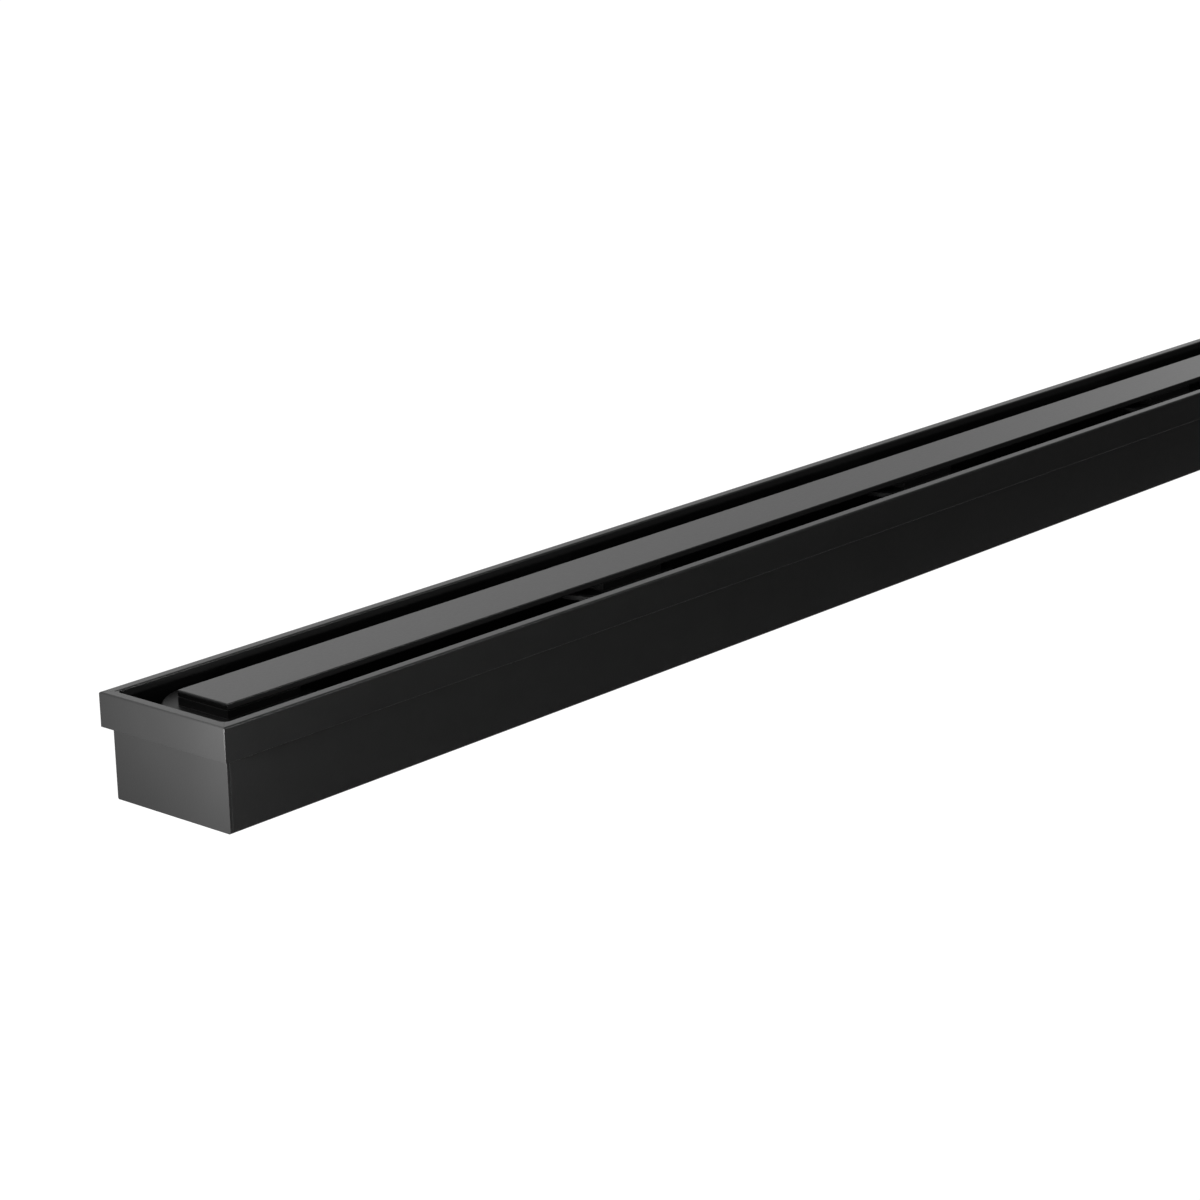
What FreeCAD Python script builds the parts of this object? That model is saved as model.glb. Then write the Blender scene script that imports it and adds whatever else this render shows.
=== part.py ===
import FreeCAD, Part
import Sketcher
import math
import os

# Linear shower drain: a folded channel with a return rim, welded end plates, a flat centre bar on
# stand-off posts with round saddles, and a spigot with a strainer cup near one end.
# Millimetres. X runs along the channel, Z is up, and z = 0 is the channel's underside.

SIZES = {
    # channel, folded from one sheet
    "overall_length": 1000.0,
    "overall_width": 75.0,
    "overall_height": 46.5,
    "sheet": 1.5,
    "lip_width": 5.0,
    "skirt_height": 15.0,
    "bend_inside": 0.3,
    "bend_outside": 0.8,
    # centre bar, with the same slot at its sides and its ends
    "slot_width": 17.5,
    "bar_thickness": 3.0,
    "bar_below_rim": 0.5,
    "bar_arris": 0.4,
    # stand-off posts
    "post_radius": 12.0,
    "post_wall": 2.5,
    "post_web": 6.0,
    "post_end_distance": 20.0,
    "saddle_clearance": 0.3,
    "saddle_thickness": 3.0,
    "saddle_arris": 0.8,
    "block_height": 3.6,
    "pad_height": 3.0,
    "pad_tongue": 1.2,
    "pad_tongue_wall": 1.1,
    # weld studs and what is tightened on them
    "stud_radius": 3.0,
    "stud_length": 17.0,
    "stud_base_radius": 3.8,
    "stud_base_height": 0.8,
    "stud_clearance": 0.2,
    "washer_radius": 6.0,
    "washer_height": 1.6,
    "nut_across_flats": 10.0,
    "nut_height": 5.0,
    # outlet spigot and strainer cup
    "outlet_end_distance": 100.0,
    "spigot_radius": 22.5,
    "spigot_wall": 1.5,
    "spigot_length": 40.0,
    "spigot_lead_in": 0.6,
    "collar_width": 1.0,
    "collar_height": 4.0,
    "weld_gap": 0.1,
    "cup_flange_width": 5.0,
    "cup_sheet": 0.8,
    "cup_clearance": 1.0,
    "cup_depth": 22.0,
    "cup_taper": 3.0,
    "cup_hole_radius": 1.6,
    "cup_floor_ring": 10.0,
}
POST_COUNT = 5
NUT_SIDES = 6
CUP_WALL_HOLES = 18
CUP_WALL_ROWS = 2
CUP_FLOOR_HOLES = 8

doc = FreeCAD.newDocument("linear_shower_drain")
sheet = doc.addObject("Spreadsheet::Sheet", "Sizes")
for row, (alias, size) in enumerate(SIZES.items(), start=1):
    sheet.set("A%d" % row, alias)
    sheet.set("B%d" % row, str(size))
    sheet.setAlias("B%d" % row, alias)
doc.recompute()


def amount(text):
    """Value of a sum of sheet cells and plain numbers, such as 'overall_width/2 - lip_width'."""
    total, sign = 0.0, 1.0
    for word in text.split():
        if word in ("+", "-"):
            sign = 1.0 if word == "+" else -1.0
            continue
        name, _, share = word.partition("/")
        size = SIZES[name] if name in SIZES else float(name)
        total += sign * size / float(share or 1)
    return total


def formula(text):
    """The same sum, as an expression on the spreadsheet."""
    words = text.split()
    bound = ["Sizes." + word if word.partition("/")[0] in SIZES else word for word in words]
    return " ".join(bound)


def bind(thing, **sums):
    """Tie properties of an object to sums of sheet cells."""
    for name, text in sums.items():
        thing.setExpression(name, formula(text))


def new_body(name):
    body = doc.addObject("PartDesign::Body", name)
    body.Label = name
    return body


def new_sketch(body, plane, name):
    sketch = body.newObject("Sketcher::SketchObject", name)
    base = [item for item in body.Origin.OriginFeatures if item.Role == plane][0]
    sketch.AttachmentSupport = [(base, "")]
    sketch.MapMode = "FlatFace"
    return sketch


def place_point(sketch, geometry, position, corner):
    """Hold one point at its two sums, or on an axis where a sum is 0."""
    for kind, axis, text in (("DistanceX", -2, corner[0]), ("DistanceY", -1, corner[1])):
        if text == "0":
            sketch.addConstraint(Sketcher.Constraint("PointOnObject", geometry, position, axis))
            continue
        index = sketch.addConstraint(Sketcher.Constraint(kind, -1, 1, geometry, position, amount(text)))
        sketch.setExpression("Constraints[%d]" % index, formula(text))


def add_outline(sketch, corners):
    """Closed outline of straight sides through the corners."""
    points = [FreeCAD.Vector(amount(x), amount(y), 0) for x, y in corners]
    first = sketch.GeometryCount
    count = len(corners)
    for index, point in enumerate(points):
        sketch.addGeometry(Part.LineSegment(point, points[(index + 1) % count]), False)
    for index in range(count):
        follower = first + (index + 1) % count
        sketch.addConstraint(Sketcher.Constraint("Coincident", first + index, 2, follower, 1))
    for index, corner in enumerate(corners):
        place_point(sketch, first + index, 1, corner)


def add_circle(sketch, centre, radius):
    middle = FreeCAD.Vector(amount(centre[0]), amount(centre[1]), 0)
    circle = sketch.addGeometry(Part.Circle(middle, FreeCAD.Vector(0, 0, 1), amount(radius)), False)
    place_point(sketch, circle, 3, centre)
    index = sketch.addConstraint(Sketcher.Constraint("Radius", circle, amount(radius)))
    sketch.setExpression("Constraints[%d]" % index, formula(radius))


def pad(body, sketch, length, symmetric=False, name="Pad"):
    feature = body.newObject("PartDesign::Pad", name)
    feature.Profile = sketch
    feature.SideType = "Symmetric" if symmetric else "One side"
    bind(feature, Length=length)
    doc.recompute()
    return feature


def pocket(body, sketch, length, upwards=True, name="Pocket"):
    """Cut along the sketch's normal, or against it, and make sure that something was cut."""
    before = body.Shape.Volume
    feature = body.newObject("PartDesign::Pocket", name)
    feature.Profile = sketch
    feature.Reversed = upwards
    bind(feature, Length=length)
    doc.recompute()
    if not body.Shape.Volume < before:
        raise RuntimeError("%s cuts nothing from %s" % (name, body.Label))
    return feature


def revolve(body, sketch, name="Revolution"):
    feature = body.newObject("PartDesign::Revolution", name)
    feature.Profile = sketch
    feature.ReferenceAxis = (sketch, ["V_Axis"])
    feature.Angle = 360.0
    doc.recompute()
    return feature


def dress(body, kind, size, wanted, name):
    """Fillet or chamfer the edges of the last feature that the test picks."""
    tip = body.Tip
    edges = ["Edge%d" % (index + 1) for index, edge in enumerate(tip.Shape.Edges) if wanted(edge)]
    feature = body.newObject("PartDesign::" + kind, name)
    feature.Base = (tip, edges)
    bind(feature, **{"Radius" if kind == "Fillet" else "Size": size})
    doc.recompute()
    return feature


def near(value, text):
    return abs(value - amount(text)) < SLACK


def spans(edge, x=None, y=None, z=None):
    """True for an edge whose both ends lie at the given sums, mirrored sides included."""
    for vertex in edge.Vertexes:
        for value, text in ((vertex.X, x), (vertex.Y, y), (vertex.Z, z)):
            if text is not None and not near(abs(value), text):
                return False
    return True


# Levels and half sizes that several pieces share
HALF_LENGTH = "overall_length/2"
HALF_WIDTH = "overall_width/2"
TOP = "overall_height"
LIP_UNDERSIDE = "overall_height - sheet"
SKIRT_FOOT = "overall_height - skirt_height"
WALL_INSIDE = "overall_width/2 - lip_width"
WALL_OUTSIDE = "overall_width/2 - lip_width + sheet"
SKIRT_INSIDE = "overall_width/2 - sheet"
END_INSIDE = "overall_length/2 - lip_width"
END_OUTSIDE = "overall_length/2 - lip_width + sheet"
END_SKIRT_INSIDE = "overall_length/2 - sheet"
BAR_UNDERSIDE = "overall_height - bar_below_rim - bar_thickness"
BAR_HALF_WIDTH = "overall_width/2 - lip_width - slot_width"
BAR_HALF_LENGTH = "overall_length/2 - lip_width - slot_width"
OUTLET_PLACE = "overall_length/2 - outlet_end_distance"
# How far cutting outlines reach past the piece, and how close a place has to be to count as the same
SPARE = 5.0
SLACK = 0.01


def same(text):
    return text


def minus(text):
    """The same sum with every sign turned."""
    turned = {"+": "-", "-": "+"}
    words = [turned.get(word, word) for word in text.split()]
    return "- " + " ".join(words)


def mirrored(half):
    """Outline made whole from its half at positive sketch x."""
    return half + [(minus(x), y) for x, y in reversed(half)]


def make_channel():
    """U of sheet with a lip and a skirt folded outwards and down along both sides."""
    body = new_body("channel_body")
    section = new_sketch(body, "YZ_Plane", "ChannelSection")
    half = [
        (WALL_OUTSIDE, "0"),
        (WALL_OUTSIDE, LIP_UNDERSIDE),
        (SKIRT_INSIDE, LIP_UNDERSIDE),
        (SKIRT_INSIDE, SKIRT_FOOT),
        (HALF_WIDTH, SKIRT_FOOT),
        (HALF_WIDTH, TOP),
        (WALL_INSIDE, TOP),
        (WALL_INSIDE, "sheet"),
    ]
    add_outline(section, mirrored(half))
    pad(body, section, "overall_length", symmetric=True, name="ChannelPad")

    def is_outer_bend(edge):
        return any(spans(edge, x=HALF_LENGTH, y=y, z=z) and near(edge.Length, "overall_length")
                   for y, z in ((WALL_OUTSIDE, "0"), (HALF_WIDTH, TOP), (WALL_INSIDE, TOP)))

    def is_inner_bend(edge):
        return any(spans(edge, x=HALF_LENGTH, y=y, z=z) and near(edge.Length, "overall_length")
                   for y, z in ((WALL_INSIDE, "sheet"), (WALL_OUTSIDE, LIP_UNDERSIDE),
                                (SKIRT_INSIDE, LIP_UNDERSIDE)))

    dress(body, "Fillet", "bend_outside", is_outer_bend, "OuterBends")
    dress(body, "Fillet", "bend_inside", is_inner_bend, "InnerBends")

    # The rim is mitred at 45 degrees to meet the end plates' rims
    mitre = new_sketch(body, "XY_Plane", "RimMitre")
    beyond_x = END_INSIDE + " + lip_width + %s" % SPARE
    beyond_y = WALL_INSIDE + " + lip_width + %s" % SPARE
    for end in (same, minus):
        add_outline(mitre, [
            (end(END_INSIDE), WALL_INSIDE),
            (end(beyond_x), beyond_y),
            (end(beyond_x), minus(beyond_y)),
            (end(END_INSIDE), minus(WALL_INSIDE)),
        ])
    pocket(body, mitre, TOP, name="RimMitreCut")

    # Walls stop at the end plates, which close the whole section
    ends = new_sketch(body, "XY_Plane", "WallEnds")
    for end in (same, minus):
        add_outline(ends, [
            (end(END_INSIDE), WALL_OUTSIDE),
            (end(HALF_LENGTH), WALL_OUTSIDE),
            (end(HALF_LENGTH), minus(WALL_OUTSIDE)),
            (end(END_INSIDE), minus(WALL_OUTSIDE)),
        ])
    pocket(body, ends, LIP_UNDERSIDE, name="WallEndCut")

    # Hole for the spigot
    hole = new_sketch(body, "XY_Plane", "OutletHole")
    add_circle(hole, (OUTLET_PLACE, "0"), "spigot_radius + collar_width + weld_gap")
    pocket(body, hole, "sheet", name="OutletCut")
    return body


def make_end_plate(name, turn):
    """Plate that closes the channel, with its own lip and skirt mitred to the sides' rims."""
    body = new_body(name)
    rim = new_sketch(body, "XZ_Plane", "EndRimSection")
    add_outline(rim, [
        (END_INSIDE, LIP_UNDERSIDE),
        (END_SKIRT_INSIDE, LIP_UNDERSIDE),
        (END_SKIRT_INSIDE, SKIRT_FOOT),
        (HALF_LENGTH, SKIRT_FOOT),
        (HALF_LENGTH, TOP),
        (END_INSIDE, TOP),
    ])
    pad(body, rim, "overall_width", symmetric=True, name="EndRimPad")

    def is_outer_bend(edge):
        return near(edge.Length, "overall_width") and (
            spans(edge, x=HALF_LENGTH, z=TOP) or spans(edge, x=END_INSIDE, z=TOP))

    def is_inner_bend(edge):
        return near(edge.Length, "overall_width") and spans(edge, x=END_SKIRT_INSIDE, z=LIP_UNDERSIDE)

    dress(body, "Fillet", "bend_outside", is_outer_bend, "EndOuterBends")
    dress(body, "Fillet", "bend_inside", is_inner_bend, "EndInnerBend")

    mitre = new_sketch(body, "XY_Plane", "EndRimMitre")
    short_x = END_INSIDE + " - %s" % SPARE
    beyond_x = END_INSIDE + " + lip_width + %s" % SPARE
    beyond_y = WALL_INSIDE + " + lip_width + %s" % SPARE
    for side in (same, minus):
        add_outline(mitre, [
            (short_x, side(WALL_INSIDE + " - %s" % SPARE)),
            (beyond_x, side(beyond_y)),
            (short_x, side(beyond_y)),
        ])
    pocket(body, mitre, TOP, name="EndRimMitreCut")

    plate = new_sketch(body, "XY_Plane", "EndPlateFoot")
    add_outline(plate, [
        (END_INSIDE, WALL_OUTSIDE),
        (END_OUTSIDE, WALL_OUTSIDE),
        (END_OUTSIDE, minus(WALL_OUTSIDE)),
        (END_INSIDE, minus(WALL_OUTSIDE)),
    ])
    pad(body, plate, LIP_UNDERSIDE, name="EndPlatePad")

    def is_bottom_corner(edge):
        return spans(edge, y=WALL_OUTSIDE, z="0") and near(edge.Length, "sheet")

    dress(body, "Fillet", "bend_outside", is_bottom_corner, "EndPlateCorners")
    body.Placement = FreeCAD.Placement(FreeCAD.Vector(), FreeCAD.Rotation(FreeCAD.Vector(0, 0, 1), turn))
    return body


def make_bar():
    """Flat bar with its sharp edges taken off."""
    body = new_body("centre_bar")
    plan = new_sketch(body, "XY_Plane", "BarPlan")
    add_outline(plan, mirrored([(BAR_HALF_LENGTH, BAR_HALF_WIDTH), (BAR_HALF_LENGTH, minus(BAR_HALF_WIDTH))]))
    pad(body, plan, "bar_thickness", name="BarPad")

    def is_level(edge):
        return abs(edge.Vertexes[0].Z - edge.Vertexes[-1].Z) < SLACK

    dress(body, "Fillet", "bar_arris", is_level, "BarArris")
    bind(body, **{"Placement.Base.z": BAR_UNDERSIDE})
    return body


def post_places():
    """X of each post: one near each end of the bar, and the rest spread evenly between."""
    reach = amount(BAR_HALF_LENGTH + " - post_end_distance")
    step = 2.0 * reach / (POST_COUNT - 1)
    return [-reach + step * index for index in range(POST_COUNT)]


def make_turned(name, half_section, x, z):
    """Round piece turned about its own upright axis, from a closed half section of (radius, height)."""
    body = new_body(name)
    section = new_sketch(body, "XZ_Plane", "HalfSection")
    add_outline(section, half_section)
    revolve(body, section)
    bind(body, **{"Placement.Base.z": z})
    body.Placement.Base = FreeCAD.Vector(x, 0, amount(z))
    return body


def make_support(index, x):
    """One post with its stud, washer, nut and rubber pad.

    The post's saddle is a disc that centres the bar between the channel's walls, and a block on the disc
    carries the bar.
    """
    post_height = "overall_height - bar_below_rim - bar_thickness - sheet - pad_height"
    bore = "stud_radius + stud_clearance"
    recess = "stud_base_radius + stud_clearance"
    cavity = "post_radius - post_wall"
    tongue_inside = "post_radius - post_wall/2 - pad_tongue_wall/2"
    tongue_outside = "post_radius - post_wall/2 + pad_tongue_wall/2"
    web = post_height + " - post_web"
    saddle_top = post_height + " - block_height"
    saddle_underside = saddle_top + " - saddle_thickness"
    saddle_radius = WALL_INSIDE + " - saddle_clearance"
    post = make_turned("support_post_%d" % index, [
        (bore, web),
        (bore, post_height + " - stud_base_height"),
        (recess, post_height + " - stud_base_height"),
        (recess, post_height),
        ("post_radius", post_height),
        ("post_radius", saddle_top),
        (saddle_radius + " - saddle_arris", saddle_top),
        (saddle_radius, saddle_top + " - saddle_arris"),
        (saddle_radius, saddle_underside),
        ("post_radius", saddle_underside),
        ("post_radius", "0"),
        (tongue_outside, "0"),
        (tongue_outside, "pad_tongue"),
        (tongue_inside, "pad_tongue"),
        (tongue_inside, "0"),
        (cavity, "0"),
        (cavity, web),
    ], x, "sheet + pad_height")
    block = new_sketch(post, "XY_Plane", "BlockPlan")
    bind(block, **{"AttachmentOffset.Base.z": saddle_top})
    add_outline(block, [
        ("post_end_distance", BAR_HALF_WIDTH),
        ("post_end_distance", minus(BAR_HALF_WIDTH)),
        ("- post_end_distance", minus(BAR_HALF_WIDTH)),
        ("- post_end_distance", BAR_HALF_WIDTH),
    ])
    add_circle(block, ("0", "0"), cavity)
    pad(post, block, "block_height", name="BlockPad")
    make_turned("foot_pad_%d" % index, [
        (cavity, "0"),
        ("post_radius", "0"),
        ("post_radius", "pad_height"),
        (tongue_outside, "pad_height"),
        (tongue_outside, "pad_height + pad_tongue"),
        (tongue_inside, "pad_height + pad_tongue"),
        (tongue_inside, "pad_height"),
        (cavity, "pad_height"),
    ], x, "sheet")
    make_turned("weld_stud_%d" % index, [
        ("0", "0"),
        ("stud_radius", "0"),
        ("stud_radius", "stud_length - stud_base_height"),
        ("stud_base_radius", "stud_length - stud_base_height"),
        ("stud_base_radius", "stud_length"),
        ("0", "stud_length"),
    ], x, BAR_UNDERSIDE + " - stud_length")
    washer_top = BAR_UNDERSIDE + " - post_web"
    make_turned("washer_%d" % index, [
        (bore, "0"),
        ("washer_radius", "0"),
        ("washer_radius", "washer_height"),
        (bore, "washer_height"),
    ], x, washer_top + " - washer_height")
    make_nut("lock_nut_%d" % index, x, washer_top + " - washer_height - nut_height")


def make_nut(name, x, z):
    """Hexagon nut: a prism whose corners are turned off by a cone at both ends."""
    body = doc.addObject("Part::Feature", name)
    body.Label = name
    flats = amount("nut_across_flats")
    tall = amount("nut_height")
    corner = flats / 2 / math.cos(math.pi / NUT_SIDES)
    points = []
    for step in range(NUT_SIDES + 1):
        angle = 2 * math.pi * step / NUT_SIDES
        points.append(FreeCAD.Vector(corner * math.cos(angle), corner * math.sin(angle), 0))
    prism = Part.Face(Part.makePolygon(points)).extrude(FreeCAD.Vector(0, 0, tall))
    low = Part.makeCone(flats / 2, flats / 2 + tall / 2, tall / 2)
    high = Part.makeCone(flats / 2 + tall / 2, flats / 2, tall / 2, FreeCAD.Vector(0, 0, tall / 2))
    thread = Part.makeCylinder(amount("stud_radius"), tall)
    body.Shape = prism.common(low.fuse(high)).cut(thread)
    body.Placement = FreeCAD.Placement(FreeCAD.Vector(x, 0, amount(z)), FreeCAD.Rotation())
    return body


def make_spigot():
    """Tube whose collar is set in the floor's hole and stops the pipe, with a lead-in at its mouth."""
    inner = "spigot_radius - spigot_wall"
    collar = "spigot_radius + collar_width"
    tall = "spigot_length + sheet"
    collar_foot = tall + " - collar_height"
    return make_turned("outlet_spigot", [
        (inner, "0"),
        ("spigot_radius - spigot_lead_in", "0"),
        ("spigot_radius", "spigot_lead_in"),
        ("spigot_radius", collar_foot),
        (collar, collar_foot),
        (collar, tall),
        (inner, tall),
    ], amount(OUTLET_PLACE), "- spigot_length")


def make_strainer():
    """Pressed cup that hangs in the spigot by its flange, with round holes in its wall and floor."""
    mouth = "spigot_radius - spigot_wall - cup_clearance"
    foot = mouth + " - cup_taper"
    body = make_turned("strainer_cup", [
        ("0", "0"),
        (foot, "0"),
        (mouth, "cup_depth"),
        ("spigot_radius + cup_flange_width", "cup_depth"),
        ("spigot_radius + cup_flange_width", "cup_depth + cup_sheet"),
        (mouth + " - cup_sheet", "cup_depth + cup_sheet"),
        (foot + " - cup_sheet", "cup_sheet"),
        ("0", "cup_sheet"),
    ], amount(OUTLET_PLACE), "sheet - cup_depth")

    # Rows of round holes through the wall
    row_step = "cup_depth/%d" % (CUP_WALL_ROWS + 1)
    for row in range(1, CUP_WALL_ROWS + 1):
        hole = new_sketch(body, "XZ_Plane", "WallHole%d" % row)
        add_circle(hole, ("0", " + ".join([row_step] * row)), "cup_hole_radius")
        cut = pocket(body, hole, "spigot_radius", name="WallHoleCut%d" % row)
        spread(body, cut, CUP_WALL_HOLES, "WallHoles%d" % row)

    # One ring of holes in the floor
    hole = new_sketch(body, "XY_Plane", "FloorHole")
    add_circle(hole, ("cup_floor_ring", "0"), "cup_hole_radius")
    cut = pocket(body, hole, "cup_sheet", name="FloorHoleCut")
    spread(body, cut, CUP_FLOOR_HOLES, "FloorHoles")
    return body


def spread(body, feature, count, name):
    """Repeat a cut evenly about the body's upright axis."""
    before = body.Shape.Volume
    pattern = body.newObject("PartDesign::PolarPattern", name)
    pattern.Originals = [feature]
    axis = [item for item in body.Origin.OriginFeatures if item.Role == "Z_Axis"][0]
    pattern.Axis = (axis, [""])
    pattern.Angle = 360.0
    pattern.Occurrences = count
    body.Tip = pattern
    doc.recompute()
    if not body.Shape.Volume < before:
        raise RuntimeError("%s repeats nothing" % name)
    return pattern


make_channel()
make_end_plate("end_plate_right", 0)
make_end_plate("end_plate_left", 180)
make_bar()
for number, place in enumerate(post_places(), start=1):
    make_support(number, place)
make_spigot()
make_strainer()
doc.recompute()

# Every object has to be sound before anything is written
for item in doc.Objects:
    if "Invalid" in item.State or "Error" in item.State:
        raise RuntimeError("%s is in state %s" % (item.Label, item.State))

pieces = [item for item in doc.Objects
          if item.TypeId == "PartDesign::Body" or (item.TypeId == "Part::Feature" and item.Label == item.Name)]
os.makedirs("parts", exist_ok=True)
for piece in pieces:
    if piece.Shape.isNull() or not piece.Shape.isValid():
        raise RuntimeError("%s has no valid shape" % piece.Label)
for piece in pieces:
    piece.Shape.exportStep(os.path.join("parts", piece.Label + ".step"))
    print(piece.Label, round(piece.Shape.Volume, 1), len(piece.Shape.Solids))
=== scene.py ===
import math

import bmesh
import bpy
from mathutils import Euler, Matrix, Vector


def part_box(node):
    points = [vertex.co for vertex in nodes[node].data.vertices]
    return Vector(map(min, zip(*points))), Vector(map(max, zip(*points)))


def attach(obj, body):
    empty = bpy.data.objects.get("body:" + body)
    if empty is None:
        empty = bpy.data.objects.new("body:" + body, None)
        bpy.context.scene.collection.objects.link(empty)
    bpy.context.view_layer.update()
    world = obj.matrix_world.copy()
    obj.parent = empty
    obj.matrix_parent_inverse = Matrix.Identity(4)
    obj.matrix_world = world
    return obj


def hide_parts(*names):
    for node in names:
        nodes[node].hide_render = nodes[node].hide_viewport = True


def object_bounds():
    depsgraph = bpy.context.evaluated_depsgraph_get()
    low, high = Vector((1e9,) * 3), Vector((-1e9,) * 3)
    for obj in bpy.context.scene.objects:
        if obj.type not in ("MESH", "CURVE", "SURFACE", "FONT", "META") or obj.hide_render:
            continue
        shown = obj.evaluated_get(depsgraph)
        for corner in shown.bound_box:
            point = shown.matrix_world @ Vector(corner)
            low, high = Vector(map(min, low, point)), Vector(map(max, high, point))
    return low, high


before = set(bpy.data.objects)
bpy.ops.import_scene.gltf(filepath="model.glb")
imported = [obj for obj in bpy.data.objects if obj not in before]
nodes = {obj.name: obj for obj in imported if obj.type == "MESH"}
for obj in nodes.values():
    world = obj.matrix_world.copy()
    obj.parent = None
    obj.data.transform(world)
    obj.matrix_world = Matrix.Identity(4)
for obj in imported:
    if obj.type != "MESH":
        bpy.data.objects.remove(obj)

cad_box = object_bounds()


# Camera: a long lens, level with a bather's knee, looking along the channel from its closed end.
# The drain runs out of the picture on the right, as it does in the photograph.
CAMERA_PLACE = (-1.312349, -0.958815, 0.456670)
CAMERA_YAW = 41.657
CAMERA_DIP = 16.504
CAMERA_LEAN = -1.272
LENS_MM = 98.451
SENSOR_MM = 36.0
CLIP_NEAR, CLIP_FAR = 0.01, 100.0

lens = bpy.data.cameras.new("studio_camera")
lens.sensor_width = SENSOR_MM
lens.lens = LENS_MM
lens.clip_start = CLIP_NEAR
lens.clip_end = CLIP_FAR
camera = bpy.data.objects.new("studio_camera", lens)
bpy.context.scene.collection.objects.link(camera)
aim = Euler((math.radians(90.0 - CAMERA_DIP), 0.0, math.radians(CAMERA_YAW - 90.0))).to_matrix()
lean = Matrix.Rotation(math.radians(CAMERA_LEAN), 3, "Z")
camera.matrix_world = Matrix.Translation(CAMERA_PLACE) @ (aim @ lean).to_4x4()
bpy.context.scene.camera = camera
bpy.context.scene.view_settings.view_transform = "Standard"


# Studio floor: a light table, opal acrylic lit from below, so that the drain throws no shadow on it.
# It lies just clear of the mouth of the spigot, the drain's lowest part.
FLOOR_REACH = 30.0
FLOOR_DROP = 0.0002
FLOOR_HEX = "404040"
FLOOR_ROUGHNESS = 0.9
FLOOR_GLOW = 1.03


def linear(hex_colour):
    """Linear colour from an sRGB hex value."""
    parts = [int(hex_colour[i:i + 2], 16) / 255.0 for i in (0, 2, 4)]
    return [c / 12.92 if c <= 0.04045 else ((c + 0.055) / 1.055) ** 2.4 for c in parts] + [1.0]


def add_node(tree, kind, links=(), **settings):
    """A node with its settings; links are (own input, other node, its output)."""
    node = tree.nodes.new(kind)
    for name, value in settings.items():
        if hasattr(node, name):
            setattr(node, name, value)
        else:
            node.inputs[name.replace("_", " ")].default_value = value
    for own, other, output in links:
        tree.links.new(other.outputs[output], node.inputs[own])
    return node


def new_object(name, bm):
    """An object at the origin, made from a finished bmesh."""
    mesh = bpy.data.meshes.new(name)
    bm.to_mesh(mesh)
    bm.free()
    made = bpy.data.objects.new(name, mesh)
    bpy.context.scene.collection.objects.link(made)
    return made


def new_finish(name):
    """A material with its two bare nodes: the material, its shader and its tree."""
    finish = bpy.data.materials.new(name)
    finish.use_nodes = True
    tree = finish.node_tree
    return finish, tree.nodes["Principled BSDF"], tree


# Opal acrylic: lit through, an even white without gloss or grain
opal, opal_shader, _ = new_finish("opal_acrylic")
opal_shader.inputs["Base Color"].default_value = linear(FLOOR_HEX)
opal_shader.inputs["Roughness"].default_value = FLOOR_ROUGHNESS
opal_shader.inputs["Specular IOR Level"].default_value = 0.0
opal_shader.inputs["Emission Color"].default_value = linear("FFFFFF")
opal_shader.inputs["Emission Strength"].default_value = FLOOR_GLOW

bm = bmesh.new()
bmesh.ops.create_grid(bm, x_segments=1, y_segments=1, size=FLOOR_REACH)
bmesh.ops.translate(bm, vec=(0.0, 0.0, cad_box[0].z - FLOOR_DROP), verts=bm.verts)
floor = new_object("studio_floor", bm)
floor.data.materials.append(opal)


# White sweep: a dome of the same white round the whole studio, so that the drain stands on white from the
# lowest views too. Only the camera sees it: it takes no light from the drain and adds none.
SWEEP_RADIUS = 28.0
SWEEP_SUBDIVISIONS = 4

bm = bmesh.new()
bmesh.ops.create_icosphere(bm, subdivisions=SWEEP_SUBDIVISIONS, radius=SWEEP_RADIUS)
sweep = new_object("white_sweep", bm)
sweep.data.materials.append(opal)
sweep.visible_diffuse = False
sweep.visible_glossy = False
sweep.visible_transmission = False
sweep.visible_shadow = False


# Studio light: a surround that is dim in front and bright behind the drain, so that its flat tops shine and
# its long side stays dark. A small lamp lights the closed end, a low strip light the long side, and a large
# softbox high in front the tops as they are seen from behind.
LIGHTS = {
    "end_light": dict(place=(-0.6, -0.044, 0.047), look=(-0.5, -0.044, 0.05), size=(0.03, 0.02), watts=1.6),
    "side_light": dict(place=(0.5, -1.5, 0.30), look=(-0.3, 0.0, 0.046), size=(0.7, 0.05), watts=8.5),
    "front_softbox": dict(place=(0.0, -1.7, 1.8), look=(0.0, 0.0, 0.0), size=(3.2, 1.4), watts=9.0),
}
# Brightness of the surround, against how far a direction points to the back of the studio
SKY_PEAK = 1.6
SKY_STEPS = [(-0.4, 0.12), (0.0, 0.6), (0.46, 1.30), (0.56, 0.62), (0.80, 1.36), (0.82, 0.7)]

world = bpy.data.worlds.new("studio")
world.use_nodes = True
bpy.context.scene.world = world
sky = world.node_tree
sky.nodes.clear()
direction = add_node(sky, "ShaderNodeTexCoord")
split = add_node(sky, "ShaderNodeSeparateXYZ", [("Vector", direction, "Generated")])
fade = add_node(sky, "ShaderNodeMapRange", [("Value", split, "Y")], From_Min=-1.0, From_Max=1.0)
ramp = add_node(sky, "ShaderNodeValToRGB", [("Fac", fade, "Result")])
for index, (backward, strength) in enumerate(SKY_STEPS):
    stop = ramp.color_ramp.elements[index] if index < 2 else ramp.color_ramp.elements.new(1.0)
    stop.position = (backward + 1.0) / 2.0
    stop.color = (strength / SKY_PEAK,) * 3 + (1.0,)
glow = add_node(sky, "ShaderNodeBackground", [("Color", ramp, "Color")], Strength=SKY_PEAK)
add_node(sky, "ShaderNodeOutputWorld", [("Surface", glow, "Background")])

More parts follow.
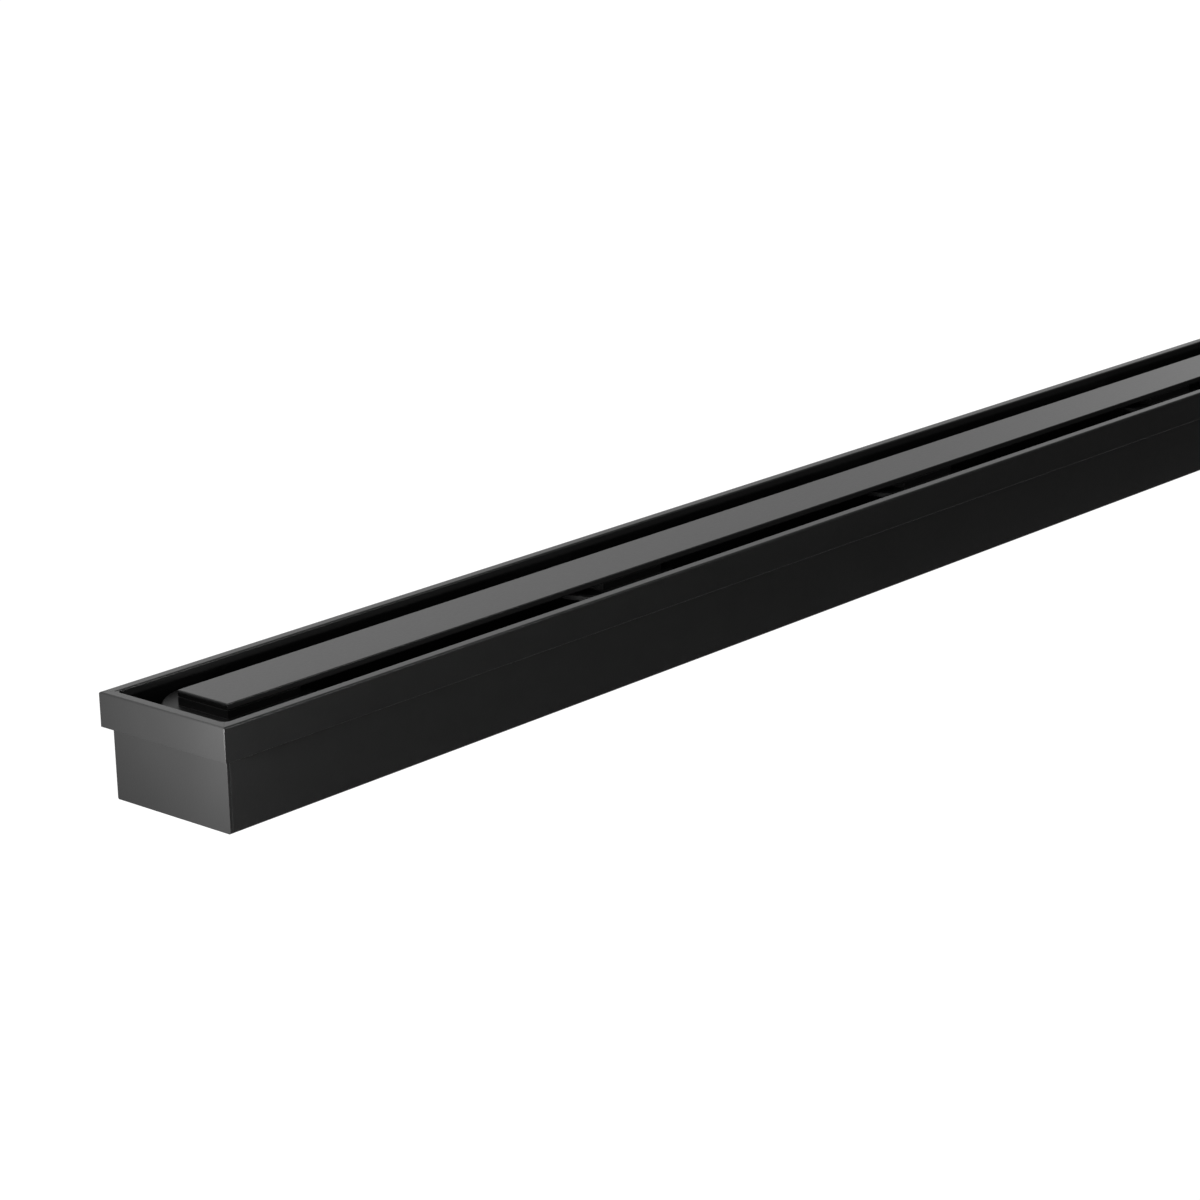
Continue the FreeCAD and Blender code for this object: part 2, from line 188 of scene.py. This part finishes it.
for name, lamp in LIGHTS.items():
    light = bpy.data.lights.new(name, "AREA")
    light.shape = "RECTANGLE"
    light.size, light.size_y = lamp["size"]
    light.energy = lamp["watts"]
    holder = bpy.data.objects.new(name, light)
    bpy.context.scene.collection.objects.link(holder)
    holder.location = lamp["place"]
    holder.visible_camera = False
    facing = Vector(lamp["look"]) - Vector(lamp["place"])
    holder.rotation_euler = facing.to_track_quat("-Z", "Y").to_euler()


# Grey cards: sheets lying on the light table beside the drain, a dark one along its front and a pale one at
# its closed end. Its sides reflect them in place of the bright table, and the camera doesn't see them.
CARDS = {
    "front_card": dict(x=(-0.5, 2.5), y=(-2.0, -0.06), glow=0.0),
    "end_card": dict(x=(-0.6, -0.51), y=(-0.1, 0.25), glow=0.55),
}
CARD_LIFT = 0.001
CARD_HEX = "101010"

for name, sheet in CARDS.items():
    # Card paper: even and dull, the pale sheet thin enough for the table to light it through
    paper, card_shader, _ = new_finish(name + "_paper")
    card_shader.inputs["Base Color"].default_value = linear(CARD_HEX)
    card_shader.inputs["Emission Color"].default_value = linear("FFFFFF")
    card_shader.inputs["Emission Strength"].default_value = sheet["glow"]
    (left, right), (front, back) = sheet["x"], sheet["y"]
    middle = Vector(((left + right) / 2, (front + back) / 2, cad_box[0].z + CARD_LIFT))
    bm = bmesh.new()
    bmesh.ops.create_grid(bm, x_segments=1, y_segments=1, size=1.0)
    bmesh.ops.scale(bm, vec=((right - left) / 2, (back - front) / 2, 1.0), verts=bm.verts)
    bmesh.ops.translate(bm, vec=middle, verts=bm.verts)
    card = new_object(name, bm)
    card.data.materials.append(paper)
    card.visible_camera = False


# Channel body: stainless sheet, folded into a U with a return rim along both sides, then powder coated.
# The coat is baked on and hides the steel: near black and low in sheen, with a fine orange peel, drawn a
# little coarser than the real one. It rounds every edge, so that the edges catch a thin line of light.
COAT_DARK, COAT_LIGHT = "0E0E0E", "101010"
COAT_ROUGHNESS = (0.31, 0.37)
COAT_SHEEN = 0.3
COAT_CLOUD_MM = 45.0
PEEL_MM, PEEL_DEPTH_MM = 1.2, 0.03
COAT_EDGE_MM = 0.5
# Where the clouds of every finish turn from its darker to its lighter colour
CLOUD_SPAN = (0.35, 0.65)
CLOUD_DETAIL = 1.0
BUMP_DETAIL, BUMP_HARSHNESS = 2.0, 0.5
EDGE_SAMPLES = 4


def roughen(tree, shader, size_mm, depth_mm, roughness, edge_mm, stretch=(1.0, 1.0, 1.0)):
    """Fine bumps of a real size on a surface with rounded edges, shinier on the bumps than between them."""
    place = add_node(tree, "ShaderNodeTexCoord")
    scaled = add_node(tree, "ShaderNodeMapping", [("Vector", place, "Object")], Scale=stretch)
    bumps = add_node(tree, "ShaderNodeTexNoise", [("Vector", scaled, "Vector")],
                     Scale=1000.0 / size_mm, Detail=BUMP_DETAIL, Roughness=BUMP_HARSHNESS)
    edges = add_node(tree, "ShaderNodeBevel", samples=EDGE_SAMPLES, Radius=edge_mm / 1000.0)
    relief = add_node(tree, "ShaderNodeBump", [("Height", bumps, "Fac"), ("Normal", edges, "Normal")],
                      Strength=1.0, Distance=depth_mm / 1000.0)
    polish = add_node(tree, "ShaderNodeMapRange", [("Value", bumps, "Fac")],
                      To_Min=roughness[1], To_Max=roughness[0])
    tree.links.new(relief.outputs["Normal"], shader.inputs["Normal"])
    tree.links.new(polish.outputs["Result"], shader.inputs["Roughness"])
    return place


def tint(tree, shader, place, size_mm, dark_hex, light_hex):
    """Soft clouds of two near colours, of a real size."""
    clouds = add_node(tree, "ShaderNodeTexNoise", [("Vector", place, "Object")],
                      Scale=1000.0 / size_mm, Detail=CLOUD_DETAIL)
    colours = add_node(tree, "ShaderNodeValToRGB", [("Fac", clouds, "Fac")])
    for stop, position, colour in zip(colours.color_ramp.elements, CLOUD_SPAN, (dark_hex, light_hex)):
        stop.position = position
        stop.color = linear(colour)
    tree.links.new(colours.outputs["Color"], shader.inputs["Base Color"])


# Powder coat: an even black with a soft, slightly broken shine
powder_coat, coat_shader, coat_tree = new_finish("matt_powder_coat")
coat_shader.inputs["Specular IOR Level"].default_value = COAT_SHEEN
where = roughen(coat_tree, coat_shader, PEEL_MM, PEEL_DEPTH_MM, COAT_ROUGHNESS, COAT_EDGE_MM)
tint(coat_tree, coat_shader, where, COAT_CLOUD_MM, COAT_DARK, COAT_LIGHT)
nodes["channel_body"].data.materials[0] = powder_coat


# End plates: the same sheet, each folded to its own lip and skirt, set in the channel's end and welded.
# The rim's mitres are ground flush, so they don't show. Inside, the weld stays as laid: a rippled fillet up
# both corners, only its top ground just below the lip, and along the floor, coated over with the rest.
WELD_LEG = 0.0034
WELD_RIPPLE = 0.0014
WELD_SWELL = 0.10
WELD_SINK = 0.0004
# Hollow face of the fillet, in shares of its leg
WELD_SECTION = [(0.0, 0.0), (1.0, 0.0), (0.62, 0.16), (0.33, 0.33), (0.16, 0.62), (0.0, 1.0)]
WALL_INSIDE = 0.0325
END_INSIDE = 0.495
FLOOR_TOP = 0.0015
WELD_GROUND = 0.0002
WELD_TOP = cad_box[1].z - WELD_GROUND


def lay_weld(bm, first, last, off_wall, off_plate):
    """One rippled fillet weld from first to last; the two directions lead out of the corner it lies in."""
    off_wall, off_plate = Vector(off_wall), Vector(off_plate)
    root = Vector(first) - (off_wall + off_plate) * WELD_SINK
    run = Vector(last) - Vector(first)
    face = bm.faces.new([bm.verts.new(root + (off_wall * u + off_plate * v) * WELD_LEG)
                         for u, v in WELD_SECTION])
    steps = 2 * round(run.length / WELD_RIPPLE)
    size = 1.0
    inner = []
    for step in range(1, steps + 1):
        grown = bmesh.ops.extrude_face_region(bm, geom=[face])
        if step > 1:
            inner.append(face)
        face = next(item for item in grown["geom"] if isinstance(item, bmesh.types.BMFace))
        bmesh.ops.translate(bm, vec=run / steps, verts=face.verts)
        swell = 1.0 + (WELD_SWELL if step % 2 else -WELD_SWELL)
        bmesh.ops.scale(bm, vec=(swell / size,) * 3, verts=face.verts,
                        space=Matrix.Translation(-(root + run * step / steps)))
        size = swell
    # The faces left inside between the steps go, so that the weld is one closed skin
    bmesh.ops.delete(bm, geom=inner, context="FACES_ONLY")
    bmesh.ops.recalc_face_normals(bm, faces=bm.faces)


for name, end in (("end_plate_left", -1), ("end_plate_right", 1)):
    nodes[name].data.materials[0] = powder_coat
    bm = bmesh.new()
    plate = end * END_INSIDE
    for side in (-1, 1):
        wall = side * WALL_INSIDE
        lay_weld(bm, (plate, wall, WELD_TOP), (plate, wall, FLOOR_TOP), (0, -side, 0), (-end, 0, 0))
    lay_weld(bm, (plate, -WALL_INSIDE, FLOOR_TOP), (plate, WALL_INSIDE, FLOOR_TOP), (0, 0, 1), (-end, 0, 0))
    weld = new_object(name.replace("end_plate", "end_weld"), bm)
    weld.data.materials.append(powder_coat)
    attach(weld, "root")


# Centre bar: flat bar, sawn to length, its edges taken off, coated in the same batch as the channel.
# It lies just below the rim and shows the same black, lighter only because it faces the bright back.
nodes["centre_bar"].data.materials[0] = powder_coat


# Stand-off posts: moulded polypropylene, each a hollow foot with a round saddle, which centres the bar
# between the walls, and a block that carries the bar. The mould was spark eroded, so they are dull, with an
# even fine grain, drawn coarser than the real tenth of a millimetre, which would only sparkle.
PLASTIC_DARK, PLASTIC_LIGHT = "090909", "0B0B0B"
PLASTIC_ROUGHNESS = (0.40, 0.50)
PLASTIC_SHEEN = 0.3
PLASTIC_CLOUD_MM = 12.0
SPARK_MM, SPARK_DEPTH_MM = 0.5, 0.008
PLASTIC_EDGE_MM = 0.3

# Polypropylene: a duller black than the coat, so that a support stays behind the bar it carries
polypropylene, plastic_shader, plastic_tree = new_finish("moulded_polypropylene")
plastic_shader.inputs["Specular IOR Level"].default_value = PLASTIC_SHEEN
where = roughen(plastic_tree, plastic_shader, SPARK_MM, SPARK_DEPTH_MM, PLASTIC_ROUGHNESS, PLASTIC_EDGE_MM)
tint(plastic_tree, plastic_shader, where, PLASTIC_CLOUD_MM, PLASTIC_DARK, PLASTIC_LIGHT)
for name in nodes:
    if name.startswith("support_post"):
        nodes[name].data.materials[0] = polypropylene


# Foot pads: rings of EPDM rubber whose tongue is pressed into the post's foot, so that the bar doesn't
# rattle or mark the coat. The grain is drawn coarser than the real one.
RUBBER_DARK, RUBBER_LIGHT = "141414", "1E1E1E"
RUBBER_ROUGHNESS = (0.72, 0.85)
RUBBER_GRAIN_MM, RUBBER_DEPTH_MM = 0.35, 0.006
RUBBER_EDGE_MM = 0.3
RUBBER_CLOUD_MM = 4.0

# EPDM rubber: dull and a little greyer than the plastic, clouded by the bloom that rubber gets
rubber, rubber_shader, rubber_tree = new_finish("moulded_epdm_rubber")
where = roughen(rubber_tree, rubber_shader, RUBBER_GRAIN_MM, RUBBER_DEPTH_MM, RUBBER_ROUGHNESS,
                RUBBER_EDGE_MM)
tint(rubber_tree, rubber_shader, where, RUBBER_CLOUD_MM, RUBBER_DARK, RUBBER_LIGHT)
for name in nodes:
    if name.startswith("foot_pad"):
        nodes[name].data.materials[0] = rubber


# Weld studs: M6 studs of stainless steel, welded to the bar's underside by their small flange, with washers
# and lock nuts of the same steel. The rolled thread is drawn as rings of the real pitch and depth, because a
# helix this fine can't be told from them.
STUD_PITCH = 0.001
STUD_ROOT = 0.00245
STUD_CREST = 0.00296
STUD_THREAD_END = 0.0012
STUD_CHAMFER = 0.0004
STUD_FLANGE = 0.0008
# Flat of a thread's crest, in shares of the pitch
CREST_START, CREST_END = 0.44, 0.56
STEEL_DARK, STEEL_LIGHT = "B4B4B8", "C6C6C9"
STEEL_ROUGHNESS = (0.24, 0.36)
LINE_MM, LINE_DEPTH_MM = 0.25, 0.002
LINE_STRETCH = (1.0, 1.0, 0.2)
STEEL_EDGE_MM = 0.15
STEEL_CLOUD_MM = 3.0
STUD_SEGMENTS = 48
# Points closer than this are one point
MERGE_REACH = 1e-6


def turned(profile, x, segments, closed=False):
    """Solid turned about an upright axis at x, from (radius, height) points; open ends lie on the axis."""
    bm = bmesh.new()
    line = [bm.verts.new((x + radius, 0.0, height)) for radius, height in profile]
    following = line[1:] + line[:1] if closed else line[1:]
    edges = [bm.edges.new(pair) for pair in zip(line, following)]
    bmesh.ops.spin(bm, geom=line + edges, cent=(x, 0.0, 0.0), axis=(0.0, 0.0, 1.0), angle=2 * math.pi,
                   steps=segments, use_merge=True)
    bmesh.ops.remove_doubles(bm, verts=bm.verts, dist=MERGE_REACH)
    bmesh.ops.recalc_face_normals(bm, faces=bm.faces)
    return bm


# Fastener steel: bright, with upright drawing lines that spread the light (coarser than the real ones)
steel, steel_shader, steel_tree = new_finish("stainless_steel_fastener")
steel_shader.inputs["Metallic"].default_value = 1.0
where = roughen(steel_tree, steel_shader, LINE_MM, LINE_DEPTH_MM, STEEL_ROUGHNESS, STEEL_EDGE_MM,
                LINE_STRETCH)
tint(steel_tree, steel_shader, where, STEEL_CLOUD_MM, STEEL_DARK, STEEL_LIGHT)
for name in sorted(nodes):
    if name.startswith(("washer", "lock_nut")):
        nodes[name].data.materials[0] = steel
    if not name.startswith("weld_stud"):
        continue
    low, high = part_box(name)
    middle = (low.x + high.x) / 2
    flange_radius = (high.x - low.x) / 2
    flange_foot = high.z - STUD_FLANGE
    height = low.z + STUD_CHAMFER
    profile = [(0.0, low.z), (STUD_ROOT - STUD_CHAMFER, low.z), (STUD_ROOT, height)]
    while height + STUD_PITCH < flange_foot - STUD_THREAD_END:
        profile += [(STUD_CREST, height + CREST_START * STUD_PITCH),
                    (STUD_CREST, height + CREST_END * STUD_PITCH),
                    (STUD_ROOT, height + STUD_PITCH)]
        height += STUD_PITCH
    profile += [(STUD_CREST, height + CREST_START * STUD_PITCH), (STUD_CREST, flange_foot),
                (flange_radius, flange_foot), (flange_radius, high.z), (0.0, high.z)]
    stud = new_object(name.replace("weld_stud", "threaded_stud"), turned(profile, middle, STUD_SEGMENTS))
    stud.data.materials.append(steel)
    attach(stud, "root")
    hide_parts(name)


# Outlet spigot: stainless tube with a turned collar, set in the floor's hole and welded round from below,
# then coated with the channel. The weld is one closed rippled ring under the floor.
RING_WELD_LEG = 0.0021
RING_RIPPLES = 96
# Hollow face of the ring weld, in shares of its leg, sunk a little into the collar and the floor
RING_SECTION = [(-0.15, 0.15), (1.0, 0.15), (0.62, -0.20), (0.36, -0.36), (0.20, -0.62), (-0.15, -1.0)]

nodes["outlet_spigot"].data.materials[0] = powder_coat
low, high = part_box("outlet_spigot")
outlet_x = (low.x + high.x) / 2
collar_radius = (high.x - low.x) / 2
profile = [(collar_radius + u * RING_WELD_LEG, v * RING_WELD_LEG) for u, v in RING_SECTION]
bm = turned(profile, outlet_x, 2 * RING_RIPPLES, closed=True)
root = Vector((outlet_x, 0.0, 0.0))
for vert in bm.verts:
    spoke = Vector((vert.co.x - outlet_x, vert.co.y, 0.0))
    swell = 1.0 + WELD_SWELL * math.cos(RING_RIPPLES * math.atan2(spoke.y, spoke.x))
    reach = collar_radius + (spoke.length - collar_radius) * swell
    vert.co = root + spoke.normalized() * reach + Vector((0.0, 0.0, vert.co.z * swell))
ring_weld = new_object("outlet_weld", bm)
ring_weld.data.materials.append(powder_coat)
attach(ring_weld, "root")


# Strainer cup: thin stainless sheet, spun to a cup and punched, left bright so that it is seen to be clean.
# The spinning leaves fine rings round its axis, which draw the light out into short arcs.
CUP_DARK, CUP_LIGHT = "BDBDC1", "CFCFD2"
CUP_ROUGHNESS = (0.18, 0.30)
CUP_GRAIN_MM, CUP_GRAIN_DEPTH_MM = 0.3, 0.001
CUP_EDGE_MM = 0.2
CUP_CLOUD_MM = 15.0
RING_MM, RING_DEPTH_MM = 0.6, 0.002
RING_WANDER, RING_DETAIL = 0.6, 2.0
# Rings that the wave texture draws in a metre at scale 1
WAVE_RINGS = 20.0 / (2.0 * math.pi)

# Spun steel: bright and a little worn, its rings showing where the light runs across them
cup_steel, cup_shader, cup_tree = new_finish("spun_stainless_steel")
cup_shader.inputs["Metallic"].default_value = 1.0
where = roughen(cup_tree, cup_shader, CUP_GRAIN_MM, CUP_GRAIN_DEPTH_MM, CUP_ROUGHNESS, CUP_EDGE_MM)
tint(cup_tree, cup_shader, where, CUP_CLOUD_MM, CUP_DARK, CUP_LIGHT)
centred = add_node(cup_tree, "ShaderNodeMapping", [("Vector", where, "Object")],
                   Location=(-outlet_x, 0.0, 0.0))
rings = add_node(cup_tree, "ShaderNodeTexWave", [("Vector", centred, "Vector")], wave_type="RINGS",
                 rings_direction="Z", Scale=1000.0 / RING_MM / WAVE_RINGS, Distortion=RING_WANDER,
                 Detail=RING_DETAIL)
relief = next(node for node in cup_tree.nodes if node.bl_idname == "ShaderNodeBump")
spun = add_node(cup_tree, "ShaderNodeBump", [("Height", rings, "Fac"), ("Normal", relief, "Normal")],
                Strength=1.0, Distance=RING_DEPTH_MM / 1000.0)
cup_tree.links.new(spun.outputs["Normal"], cup_shader.inputs["Normal"])
nodes["strainer_cup"].data.materials[0] = cup_steel
